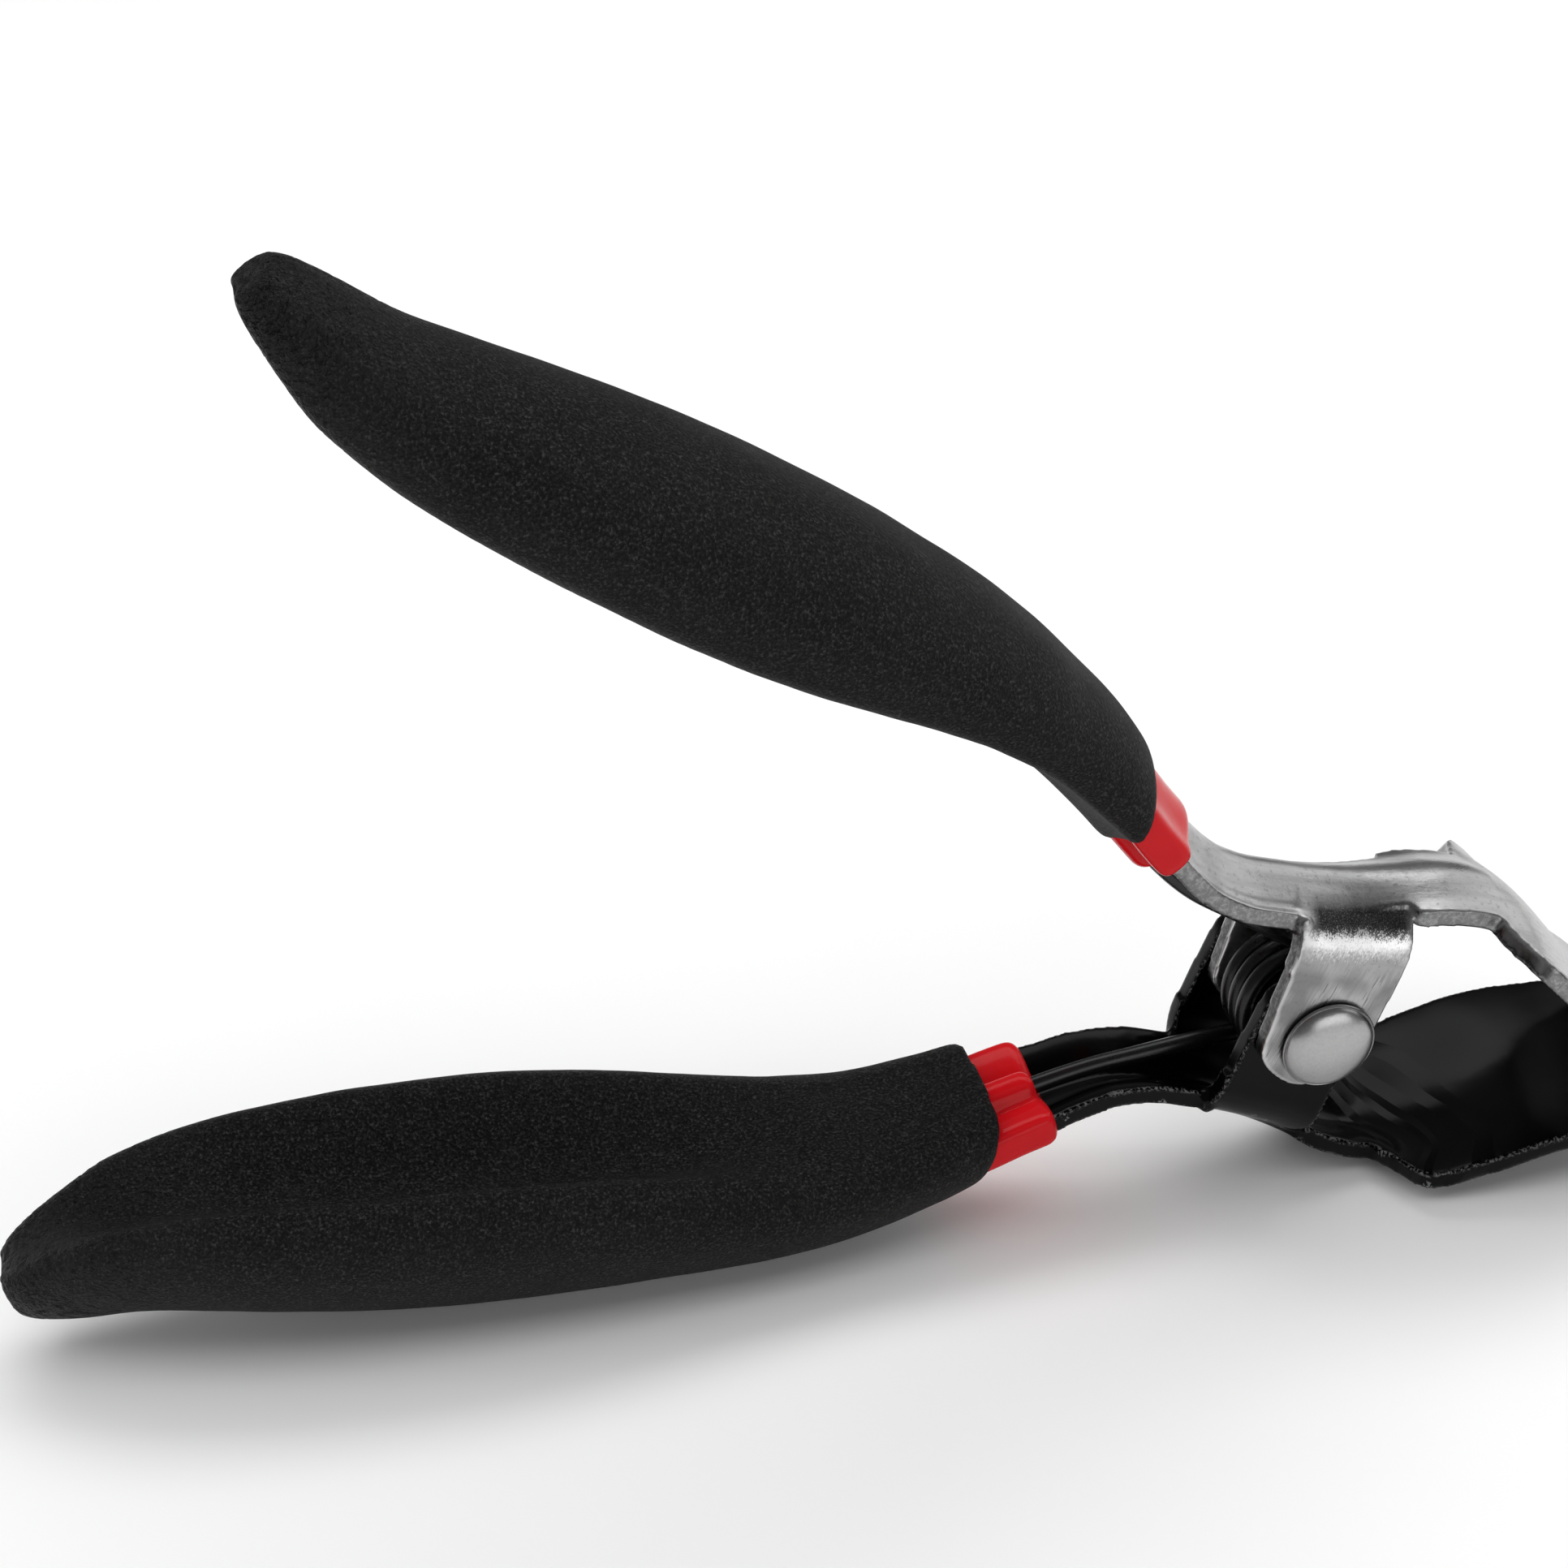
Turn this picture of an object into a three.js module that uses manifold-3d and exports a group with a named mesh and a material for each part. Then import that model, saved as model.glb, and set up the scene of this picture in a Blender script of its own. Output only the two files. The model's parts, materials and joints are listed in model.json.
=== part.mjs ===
// Squeeze-to-open spring clamp, millimetres, +Z up, jaws toward +X, pivot axis along Y.
// Every piece is drawn in the tool frame (pivot at the origin, x toward the jaws, z toward the
// upper lever) and the whole tool is then pitched to stand on its lower lever.
import * as THREE from 'three';
import { mergeVertices } from 'three/addons/utils/BufferGeometryUtils.js';
import Module from 'manifold-3d';

const wasm = await Module();
wasm.setup();

// ---- driving dimensions, mm ----
const SHEET = 2.4;             // lever sheet thickness
const GAP = 0.3;               // clearance between neighbouring pieces
const OFFSET = SHEET + GAP;    // lower lever sits this far toward +Y so the ears nest
const EAR_Y = 9.2;             // lever centre plane to the outer face of an ear
const HOLE_R = 3.3;            // pivot hole in the ears
const SHANK_R = 3.0;           // rivet shank
const HEAD_R = 5.85;           // rivet head
const HEAD_H = 2.3;            // rivet head height
const WIRE_R = 1.1;            // spring wire radius
const COIL_R = 7.4;            // spring mean radius
const SLEEVE_R = COIL_R - WIRE_R - 0.35;
const HANDLE_ANGLE = 21.5;     // handle axis to the tool axis, degrees
const DIP = 0.8;               // dipped skin thickness over the strip
const RIB = 1.1;               // and over the spring leg
const PITCH = 17.9;            // nose-down stance, degrees

const rad = THREE.MathUtils.degToRad;
const CA = Math.cos(rad(HANDLE_ANGLE));
const SA = Math.sin(rad(HANDLE_ANGLE));

// handle coordinates (s along the handle, n outward) to the tool frame [x, z]
const handle = (s, n) => [-s * CA + n * SA, s * SA + n * CA];

// ---- lever centre line: [x, z of the crown, half width, drop from crown to rim, and the
// half width left where the sheet is notched or turned down into the ears] ----
const LEVER = [
  [...handle(148, 6.2), 3.4, 0.8],
  [...handle(146, 6.4), 4.8, 1.3],
  [...handle(137, 7.9), 6.2, 2.2],
  [...handle(124, 10.9), 7.6, 3.4],
  [...handle(110, 13.5), 8.4, 4.0],
  [...handle(95, 15.2), 8.6, 4.2],
  [...handle(80, 15.9), 8.6, 3.5],
  [...handle(66, 15.9), 8.5, 2.4],
  [...handle(55, 15.6), 8.3, 1.9],
  [...handle(47, 14.9), 7.9, 2.0],
  [...handle(40.5, 13.6), 7.7, 2.3],
  [-29.0, 24.75, 7.5, 2.3],
  [-25.3, 22.3, 7.3, 2.3],
  [-23.3, 21.1, 7.1, 2.4],
  [-20.8, 19.75, 6.9, 2.6],
  [-18.0, 18.7, 6.7, 2.8],
  [-13.5, 18.1, 6.6, 3.0],
  [-8.4, 18.15, 6.5, 2.9],
  [-7.9, 18.2, 6.5, 2.9, 5.3],
  [-0.3, 18.8, 6.6, 2.4, 5.3],
  [3.0, 19.4, 6.7, 2.1, 5.3],
  [5.4, 19.9, 6.8, 1.9, 5.3],
  [5.9, 20.0, 6.8, 1.8],
  [8.4, 20.55, 7.0, 1.7],
  [11.0, 21.1, 7.1, 1.8],
  [14.5, 21.4, 7.1, 1.8],
  [17.4, 21.1, 7.1, 1.8],
  [18.9, 20.5, 9.6, 2.0],
  [20.6, 19.9, 13.0, 1.9],
  [22.2, 19.2, 14.7, 1.8],
  [24.5, 18.0, 15.2, 1.7],
  [28, 15.8, 15.4, 1.5],
  [32, 13.1, 15.7, 1.3],
  [36, 10.4, 15.8, 1.1],
  [41, 7.9, 15.6, 0.8],
  [46, 5.6, 15.0, 0.5],
  [49.5, 3.7, 14.3, 0.3],
  [50.8, 2.8, 14.0, 0.1],
  [51.4, 2.6, 13.8, 0],
  [53.4, 2.6, 12.8, 0],
  [55.2, 2.6, 10.6, 0],
];
const MOUTH_DIP = 12;          // station where the dipped skin ends

// ---- cushion grip: [s, rim n, crown n, half width, trough height over the rims, lean,
// then what the lower grip adds to its rim, crown and trough] ----
const GRIP = [
  [39.4, 7.3, 16.6, 10.0, -3.0, 3.4, -2.5, 0.5, 2.6],
  [46, 8.2, 18.4, 10.6, -2.4, 2.4, -2.4, 0.7, 2.3],
  [55, 9.2, 19.8, 11.7, -1.8, 1.2, -2.4, 0.8, 1.6],
  [63, 8.8, 20.8, 12.9, 0.0, 0.4, -2.5, 0.2, 0],
  [72, 7.1, 21.3, 13.8, 3.0, 0, -2.7, -0.3, 0],
  [85, 3.9, 20.9, 14.7, 6.6, 0, -2.9, -0.7, 0],
  [98, 1.4, 19.7, 15.1, 7.6, 0, -3.0, -0.6, 0],
  [112, -0.3, 17.5, 14.7, 7.2, 0, -2.9, -0.3, 0],
  [124, -1.4, 14.9, 13.5, 5.9, 0, -2.7, -0.1, 0],
  [134, -1.9, 12.6, 11.8, 4.3, -0.2, -2.5, 0, 0],
  [143, -1.2, 10.8, 9.6, 2.4, -0.6, -2.2, 0.4, 0],
  [150, 0.9, 10.4, 7.3, 0.8, -1.2, -1.7, 0.9, 0],
  [154, 2.6, 10.1, 5.7, 0.3, -2.0, -1.4, 1.0, 0],
  [156.8, 4.0, 9.6, 4.2, 0.1, -1.6, -1.0, 0.8, 0],
];

// ---- spring legs: [x, z, share of the way from the coil end to the lever's centre plane] ----
const LEG_UPPER = [
  [-9, 10.4, 0.1],
  [-14.5, 12.0, 0.1],
  [...handle(25, 5.2), 0.1],
  [...handle(31.3, 5.8), 0.1],
  [...handle(39, 7.6), 0.2],
  [...handle(46, 9.4), 0.4],
  [...handle(53, 11.0), 0.5],
  [...handle(60, 11.7), 0.5],
];
const LEG_LOWER = [
  [-9, 10.6, 0.5],
  [-15.8, 13.0, 0.8],
  [-21.9, 15.1, 1.1],
  [-27.5, 17.7, 1.35],
  [...handle(42.4, 8.5), 1.4],
  [...handle(50, 10.1), 1.4],
  [...handle(60, 11.0), 1.4],
];
const LEG_Y_UPPER = -EAR_Y + SHEET + OFFSET + GAP + WIRE_R;
const LEG_Y_LOWER = EAR_Y - SHEET - GAP - WIRE_R;
const FULL_TURNS = 3;          // whole turns of the coil, before the part turn between the legs

// ---- helpers ----
function closed(verts, tris) {
  let volume = 0;
  for (const [a, b, c] of tris) {
    const n = new THREE.Vector3().crossVectors(verts[b], verts[c]);
    volume += verts[a].dot(n);
  }
  const index = tris.flatMap(([a, b, c]) => (volume > 0 ? [a, b, c] : [a, c, b]));
  const geo = new THREE.BufferGeometry();
  const flat = verts.flatMap((v) => [v.x, v.y, v.z]);
  geo.setAttribute('position', new THREE.Float32BufferAttribute(flat, 3));
  geo.setIndex(index);
  return geo;
}

function toManifold(geometry) {
  const geo = geometry.clone();
  geo.deleteAttribute('normal');
  geo.deleteAttribute('uv');
  const merged = mergeVertices(geo, 1e-4);
  const vertProperties = new Float32Array(merged.attributes.position.array);
  const triVerts = new Uint32Array(merged.index.array);
  return new wasm.Manifold(new wasm.Mesh({ numProp: 3, vertProperties, triVerts }));
}

function fromManifold(solid) {
  const mesh = solid.getMesh();
  const geo = new THREE.BufferGeometry();
  geo.setAttribute('position', new THREE.BufferAttribute(mesh.vertProperties, 3));
  geo.setIndex(new THREE.BufferAttribute(mesh.triVerts, 1));
  return geo;
}

// loft closed rings of equal length
function loft(rings) {
  const count = rings[0].length;
  const verts = rings.flat();
  const tris = [];
  for (let i = 0; i < rings.length - 1; i += 1) {
    for (let j = 0; j < count; j += 1) {
      const k = (j + 1) % count;
      const a = i * count + j;
      const b = i * count + k;
      tris.push([a, b, b + count], [a, b + count, a + count]);
    }
  }
  // end caps pair the ring across its two long sides, so arched sections close cleanly
  const half = count / 2;
  for (const [base, flip] of [[0, false], [(rings.length - 1) * count, true]]) {
    for (let j = 0; j < half - 1; j += 1) {
      const a = base + j;
      const b = base + j + 1;
      const c = base + count - 2 - j;
      const d = base + count - 1 - j;
      const quads = [[a, c, b], [a, d, c]];
      tris.push(...(flip ? quads.map(([p, q, r]) => [p, r, q]) : quads));
    }
  }
  return closed(verts, tris);
}

// hat-shaped sheet section at one station of the lever line, grown by g on every side
function archRing(path, i, g, steps = 10) {
  const [x, z, hw, drop, reach = hw] = path[i];
  const [ax, az] = path[Math.max(i - 1, 0)];
  const [bx, bz] = path[Math.min(i + 1, path.length - 1)];
  const length = Math.hypot(bx - ax, bz - az);
  const tx = (bx - ax) / length;
  const tz = (bz - az) / length;
  const section = (u, depth) => {
    const t = Math.min(Math.abs(u) / hw, 1);
    const slope = -Math.sign(u) * (drop * Math.PI * Math.sin(Math.PI * t)) / (2 * hw);
    const norm = Math.hypot(slope, 1);
    const v = -drop * (0.5 - 0.5 * Math.cos(Math.PI * t)) + depth / norm;
    return new THREE.Vector3(x - v * tz, u - (depth * slope) / norm, z + v * tx);
  };
  const row = (depth, sign) => Array.from({ length: steps + 1 }, (_, k) => {
    return section(sign * (reach + g) * (1 - (2 * k) / steps), depth);
  });
  return [...row(g, 1), ...row(-SHEET - g, -1)];
}

// sheet lofted between two stations; extendStart lengthens its first end
function archLoft(path, from, to, g, extendStart = 0) {
  const rings = [];
  for (let i = from; i <= to; i += 1) {
    rings.push(archRing(path, i, g));
  }
  if (extendStart > 0) {
    const [ring, next] = rings;
    const dir = ring[0].clone().add(ring[4]).sub(next[0]).sub(next[4]).normalize();
    rings.unshift(ring.map((p) => p.clone().addScaledVector(dir, extendStart)));
  }
  return loft(rings);
}

// U-shaped saddle that turns the strip down into the two ears
function saddle() {
  const stations = [[-8.8, 17.95], [-4, 18.35], [1, 18.95], [5.8, 19.95]];
  const rings = stations.map(([x, crown]) => {
    const half = [
      [0, crown],
      [2.4, crown - 0.78],
      [4.4, crown - 1.9],
      [6.2, crown - 2.95],
      [7.6, crown - 4.2],
      [8.6, crown - 5.75],
      [EAR_Y, crown - 7.8],
      [EAR_Y, 9.5],
    ];
    const outer = [...half.slice(1).reverse().map(([y, z]) => [-y, z]), ...half];
    const inner = outer.map(([y, z], i) => {
      const a = outer[Math.max(i - 1, 0)];
      const b = outer[Math.min(i + 1, outer.length - 1)];
      const length = Math.hypot(b[0] - a[0], b[1] - a[1]);
      const ny = (b[1] - a[1]) / length;
      const nz = -(b[0] - a[0]) / length;
      return [y + ny * SHEET, z + nz * SHEET];
    });
    const ends = [0, inner.length - 1];
    for (const e of ends) {
      inner[e] = [Math.sign(outer[e][0]) * (EAR_Y - SHEET), 9.5];
    }
    return [...outer, ...inner.reverse()].map(([y, z]) => new THREE.Vector3(x, y, z));
  });
  return loft(rings);
}

function ear(side) {
  const shape = new THREE.Shape();
  shape.moveTo(-8.6, 10.5);
  shape.lineTo(-8.1, 1.0);
  shape.quadraticCurveTo(-8.0, -4.9, -3.6, -6.2);
  shape.quadraticCurveTo(-1.2, -6.9, 1.4, -5.9);
  shape.quadraticCurveTo(4.9, -4.3, 5.4, 1.0);
  shape.lineTo(5.9, 10.5);
  shape.closePath();
  const hole = new THREE.Path();
  hole.absarc(0, 0, HOLE_R, 0, Math.PI * 2, true);
  shape.holes.push(hole);
  const plate = new THREE.ExtrudeGeometry(shape, { depth: SHEET, bevelEnabled: false, curveSegments: 6 });
  plate.rotateX(Math.PI / 2);
  plate.translate(0, side > 0 ? EAR_Y : -EAR_Y + SHEET, 0);
  return plate;
}

function leverGeometry() {
  const strip = toManifold(archLoft(LEVER, 0, LEVER.length - 1, 0));
  const parts = [saddle(), ear(1), ear(-1)].map(toManifold);
  return fromManifold(parts.reduce((sum, part) => sum.add(part), strip));
}

// ---- spring ----
function tube(points, radius, segments, sides) {
  const curve = new THREE.CatmullRomCurve3(points, false, 'centripetal');
  const shape = new THREE.Shape();
  shape.absarc(0, 0, radius, 0, Math.PI * 2, false);
  return new THREE.ExtrudeGeometry(shape, { extrudePath: curve, steps: segments, curveSegments: sides });
}

// leg centre line on one side: side 1 lies under the upper lever, -1 over the lower one
function legPoints(side) {
  const end = side > 0 ? LEG_Y_UPPER : LEG_Y_LOWER;
  const centre = side > 0 ? 0 : OFFSET;
  const leg = side > 0 ? LEG_UPPER : LEG_LOWER;
  return leg.map(([x, z, share]) => new THREE.Vector3(x, end + (centre - end) * share, side * z));
}

// where the wire leaves the coil: tangent point of a line from the first leg point
function tangentAngle(leg) {
  const [x, z] = leg[0];
  const distance = Math.hypot(x, z);
  const toLeg = Math.atan2(z, x);
  return toLeg - Math.acos(COIL_R / distance);
}

function springGeometry() {
  const start = -tangentAngle(LEG_LOWER);
  // winds from the lower leg round the coil to the upper leg, tightening when squeezed
  const total = tangentAngle(LEG_UPPER) - start + Math.PI * 2 * FULL_TURNS;
  const points = legPoints(-1).reverse();
  const steps = 40;
  for (let i = 0; i <= steps; i += 1) {
    const f = i / steps;
    const angle = start + total * f;
    const y = LEG_Y_LOWER + (LEG_Y_UPPER - LEG_Y_LOWER) * f;
    points.push(new THREE.Vector3(COIL_R * Math.cos(angle), y, COIL_R * Math.sin(angle)));
  }
  points.push(...legPoints(1));
  return tube(points, WIRE_R, 130, 4);
}

// ---- dipped skins and cushions, in the upper lever's own frame ----
// a spring leg as a tube of the given radius, run on to the end of its socket
function legChannel(radius, side) {
  const shift = side > 0 ? 0 : OFFSET;
  const points = legPoints(side).slice(1).map((p) => new THREE.Vector3(p.x, p.y - shift, side * p.z));
  const [ex, ez] = handle(63, side > 0 ? 11.9 : 11.2);
  points.push(new THREE.Vector3(ex, points[points.length - 1].y, ez));
  return toManifold(tube(points, radius, 14, 4));
}

function dipBody(side) {
  const skin = toManifold(archLoft(LEVER, 0, MOUTH_DIP, DIP, DIP));
  return skin.add(trimAtMouth(legChannel(WIRE_R + RIB, side)));
}

// cuts a body square to the lever just behind the mouth of the dipped skin
function trimAtMouth(body) {
  const [x, z] = LEVER[MOUTH_DIP];
  const [px, pz] = LEVER[MOUTH_DIP - 1];
  const [nx, nz] = LEVER[MOUTH_DIP + 1];
  const length = Math.hypot(nx - px, nz - pz);
  const normal = [(px - nx) / length, 0, (pz - nz) / length];
  return body.trimByPlane(normal, x * normal[0] + z * normal[2]);
}

function dipGeometry(side) {
  const core = toManifold(archLoft(LEVER, 0, MOUTH_DIP + 2, GAP, GAP));
  const leg = legChannel(WIRE_R + GAP, side);
  return fromManifold(dipBody(side).subtract(core).subtract(leg));
}

// kidney-shaped cushion section with a trough facing the other handle
function cushionRing(station, side, slices = 5) {
  const [s, rimAt, crownAt, w, troughAt, lean, ...change] = station;
  const [addRim, addCrown, addTrough] = side > 0 ? [0, 0, 0] : change;
  const rim = rimAt + addRim;
  const h = crownAt + addCrown - rim;
  const trough = troughAt + addTrough;
  const control = [
    [0, h],
    [0.45 * w, 0.93 * h],
    [0.84 * w, 0.68 * h],
    [w, 0.34 * h],
    [0.9 * w, 0.07 * h],
    [0.7 * w, 0],
    [0.46 * w, Math.min(0.42 * trough, 0.5 * h)],
    [0.22 * w, 0.86 * trough],
    [0, trough],
  ];
  const mirror = control.slice(1, -1).reverse().map(([u, v]) => [-u, v]);
  const loop = [...control, ...mirror].map(([u, v]) => new THREE.Vector3(u, v, 0));
  const curve = new THREE.CatmullRomCurve3(loop, true, 'centripetal');
  const count = slices * 4;
  return Array.from({ length: count }, (_, k) => {
    const p = curve.getPoint(((k + 0.5) / count + 0.75) % 1);
    const [x, z] = handle(s + (lean * p.y) / h, rim + p.y);
    return new THREE.Vector3(x, p.x, z);
  });
}

function cushionGeometry(side) {
  const body = toManifold(loft(GRIP.map((station) => cushionRing(station, side))));
  const strip = toManifold(archLoft(LEVER, 0, MOUTH_DIP + 1, DIP + GAP, DIP + GAP));
  const leg = legChannel(WIRE_R + RIB + GAP, side);
  return fromManifold(body.subtract(strip).subtract(leg));
}

// ---- turned pieces on the pivot axis ----
function turned(profile, segments) {
  const points = profile.map(([r, y]) => new THREE.Vector2(r, y));
  return new THREE.LatheGeometry(points, segments);
}

function rivetGeometry() {
  const near = -EAR_Y - GAP;
  const far = EAR_Y + OFFSET + GAP;
  return turned([
    [0, near - HEAD_H],
    [HEAD_R * 0.34, near - HEAD_H * 0.94],
    [HEAD_R * 0.62, near - HEAD_H * 0.76],
    [HEAD_R * 0.84, near - HEAD_H * 0.5],
    [HEAD_R * 0.97, near - HEAD_H * 0.22],
    [HEAD_R, near],
    [SHANK_R, near],
    [SHANK_R, far],
    [HEAD_R * 0.9, far],
    [HEAD_R * 0.86, far + HEAD_H * 0.3],
    [HEAD_R * 0.66, far + HEAD_H * 0.62],
    [HEAD_R * 0.36, far + HEAD_H * 0.8],
    [0, far + HEAD_H * 0.85],
  ], 28);
}

function sleeveGeometry() {
  const near = -EAR_Y + SHEET + OFFSET + GAP;
  const far = EAR_Y - SHEET - GAP;
  return turned([
    [SHANK_R + GAP, near],
    [SLEEVE_R, near],
    [SLEEVE_R, far],
    [SHANK_R + GAP, far],
    [SHANK_R + GAP, near],
  ], 24);
}

// ---- assembly ----
const MATERIALS = {
  plated: { color: 0xb9bcc0, roughness: 0.34, metalness: 1.0 },
  black: { color: 0x0b0b0d, roughness: 0.22, metalness: 0.0 },
  steel: { color: 0xc4c6c9, roughness: 0.4, metalness: 1.0 },
  wire: { color: 0x101012, roughness: 0.3, metalness: 0.2 },
  dip: { color: 0xb5141c, roughness: 0.25, metalness: 0.0 },
  cushion: { color: 0x1b1b1c, roughness: 0.85, metalness: 0.0 },
};

function finish(geometry) {
  geometry.deleteAttribute('uv');
  geometry.deleteAttribute('normal');
  const merged = mergeVertices(geometry, 1e-4);
  const p = merged.attributes.position;
  const idx = merged.index.array;
  const verts = Array.from({ length: p.count }, (_, i) => new THREE.Vector3().fromBufferAttribute(p, i));
  const tris = [];
  for (let i = 0; i < idx.length; i += 3) {
    const [a, b, c] = [idx[i], idx[i + 1], idx[i + 2]];
    if (a !== b && b !== c && a !== c) {
      tris.push([a, b, c]);
    }
  }
  return closed(verts, tris).toNonIndexed();
}

// the lower lever is the upper one mirrored and nested one sheet across
function toLower(geometry) {
  return geometry.scale(1, 1, -1).translate(0, OFFSET, 0);
}

function piece(name, geometry, look) {
  const solid = finish(geometry);
  solid.computeVertexNormals();
  const mesh = new THREE.Mesh(solid, new THREE.MeshStandardMaterial(MATERIALS[look]));
  mesh.name = name;
  return mesh;
}

const tool = new THREE.Group();
tool.add(piece('upper_lever', leverGeometry(), 'plated'));
tool.add(piece('upper_handle_dip', dipGeometry(1), 'dip'));
tool.add(piece('upper_cushion_grip', cushionGeometry(1), 'cushion'));
tool.add(piece('lower_lever', toLower(leverGeometry()), 'black'));
tool.add(piece('lower_handle_dip', toLower(dipGeometry(-1)), 'dip'));
tool.add(piece('lower_cushion_grip', toLower(cushionGeometry(-1)), 'cushion'));
tool.add(piece('pivot_rivet', rivetGeometry(), 'steel'));
tool.add(piece('pivot_sleeve', sleeveGeometry(), 'steel'));
tool.add(piece('torsion_spring', springGeometry(), 'wire'));

tool.rotation.y = rad(PITCH);
tool.updateMatrixWorld(true);
const box = new THREE.Box3().setFromObject(tool, true);
tool.position.set(-(box.min.x + box.max.x) / 2, -(box.min.y + box.max.y) / 2, -box.min.z);
tool.updateMatrixWorld(true);

const part = new THREE.Group();
part.add(tool);
part.updateMatrixWorld(true);
export default part;
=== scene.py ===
import json
import math

import bpy
import numpy as np
from mathutils import Matrix, Vector, noise


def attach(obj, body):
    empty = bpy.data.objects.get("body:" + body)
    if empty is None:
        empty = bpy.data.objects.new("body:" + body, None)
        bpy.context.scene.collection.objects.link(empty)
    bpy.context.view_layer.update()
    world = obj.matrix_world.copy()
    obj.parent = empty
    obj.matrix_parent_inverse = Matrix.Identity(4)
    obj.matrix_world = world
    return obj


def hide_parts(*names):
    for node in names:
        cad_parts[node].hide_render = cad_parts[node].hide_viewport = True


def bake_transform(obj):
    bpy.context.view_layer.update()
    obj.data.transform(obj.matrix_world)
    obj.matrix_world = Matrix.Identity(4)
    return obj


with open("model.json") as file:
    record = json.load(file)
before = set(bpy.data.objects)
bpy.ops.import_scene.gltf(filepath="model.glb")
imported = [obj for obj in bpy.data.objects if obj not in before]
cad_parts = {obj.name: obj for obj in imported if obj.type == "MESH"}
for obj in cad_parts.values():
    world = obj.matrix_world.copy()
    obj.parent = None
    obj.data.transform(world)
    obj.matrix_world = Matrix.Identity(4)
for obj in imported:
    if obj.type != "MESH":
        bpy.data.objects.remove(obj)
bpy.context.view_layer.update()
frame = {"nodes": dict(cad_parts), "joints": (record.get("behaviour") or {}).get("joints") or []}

# ---- dimensions in mm, in the tool frame: pivot at the origin, x toward the jaws ----
SHEET = 2.4                    # lever sheet thickness
GAP = 0.3                      # clearance between neighbouring pieces
OFFSET = SHEET + GAP           # the lower lever sits this far toward +y so that the ears nest
EAR_Y = 9.2                    # lever centre plane to the outer face of an ear
EAR_TOP = 10.5                 # height of the ear plates' top edge, which the saddle overlaps
EAR_SPAN = (-9.5, 7)           # a range of x a little longer than the ears
HOLE_R = 3.3                   # pivot hole in the ears
SHANK_R = 3.0                  # rivet shank
HEAD_R = 5.85                  # rivet head
HEAD_H = 2.3                   # rivet head height
WIRE_R = 1.1                   # spring wire radius
COIL_R = 7.4                   # spring mean radius
FULL_TURNS = 3                 # whole turns in the coil, besides the part turn
DIP = 0.8                      # dipped skin over the handle strip
RIB = 1.1                      # and over the spring leg
LIP_LENGTH = 1.8               # length over which the skin's open end rounds off
NOTCH = (-8.2, 5.6)            # x from and to where the strip's sides are cut away
NOTCH_REACH = 5.3              # half width of strip left between those cuts
SADDLE = (-8.8, 5.8)           # x from and to where the sheet turns down into the ears
GROOVE = (-34, -9)             # x from and to where a groove runs inside each side of the strip
GROOVE_DEPTH = 0.4
GROOVE_INSET = 1.25            # from the strip's side to the middle of the groove
GROOVE_WIDTH = 0.35
HANDLE_ANGLE = math.radians(21.5)   # handle axis to the tool axis
PITCH = math.radians(17.9)     # nose-down stance
SCRATCH_LEAN = math.radians(6.5)    # scratches on the ears to the tool's z
PIVOT = Vector(frame["joints"][0]["pos_m"])
TO_ROW = Matrix.Translation(PIVOT) @ Matrix.Rotation(PITCH, 4, "Y") @ Matrix.Scale(0.001, 4)


def handle(s, n):
    """Handle coordinates (s along the handle, n outward) to the tool's x and z."""
    ca, sa = math.cos(HANDLE_ANGLE), math.sin(HANDLE_ANGLE)
    return (-s * ca + n * sa, s * sa + n * ca)


# lever centre line: x, z of the crown, half width, drop from crown to rim
LEVER = [
    (*handle(148, 6.2), 3.4, 0.8),
    (*handle(146, 6.4), 4.8, 1.3),
    (*handle(137, 7.9), 6.2, 2.2),
    (*handle(124, 10.9), 7.6, 3.4),
    (*handle(110, 13.5), 8.4, 4.0),
    (*handle(95, 15.2), 8.6, 4.2),
    (*handle(80, 15.9), 8.6, 3.5),
    (*handle(66, 15.9), 8.5, 2.4),
    (*handle(55, 15.6), 8.3, 1.9),
    (*handle(47, 14.9), 7.9, 2.0),
    (*handle(40.5, 13.6), 7.7, 2.3),
    (-29.0, 24.75, 7.5, 2.3),
    (-25.3, 22.3, 7.3, 2.3),
    (-23.3, 21.1, 7.1, 2.4),
    (-20.8, 19.75, 6.9, 2.6),
    (-18.0, 18.7, 6.7, 2.8),
    (-13.5, 18.1, 6.6, 3.0),
    (-7.4, 18.2, 6.5, 2.9),
    (-0.3, 18.8, 6.6, 2.4),
    (3.0, 19.4, 6.7, 2.1),
    (6.2, 20.05, 6.8, 1.8),
    (8.4, 20.55, 7.0, 1.7),
    (11.0, 21.1, 7.1, 1.8),
    (14.5, 21.4, 7.1, 1.8),
    (17.4, 21.1, 7.1, 1.8),
    (18.9, 20.5, 9.6, 2.0),
    (20.6, 19.9, 13.0, 1.9),
    (22.2, 19.2, 14.7, 1.8),
    (24.5, 18.0, 15.2, 1.7),
    (28, 15.8, 15.4, 1.5),
    (32, 13.1, 15.7, 1.3),
    (36, 10.4, 15.8, 1.1),
    (41, 7.9, 15.6, 0.8),
    (46, 5.6, 15.0, 0.5),
    (49.5, 3.7, 14.3, 0.3),
    (50.8, 2.8, 14.0, 0.1),
    (51.4, 2.6, 13.8, 0),
    (53.4, 2.6, 12.8, 0),
    (55.2, 2.6, 10.6, 0),
]
MOUTH = 12                     # station of the dipped skin's open end

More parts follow.
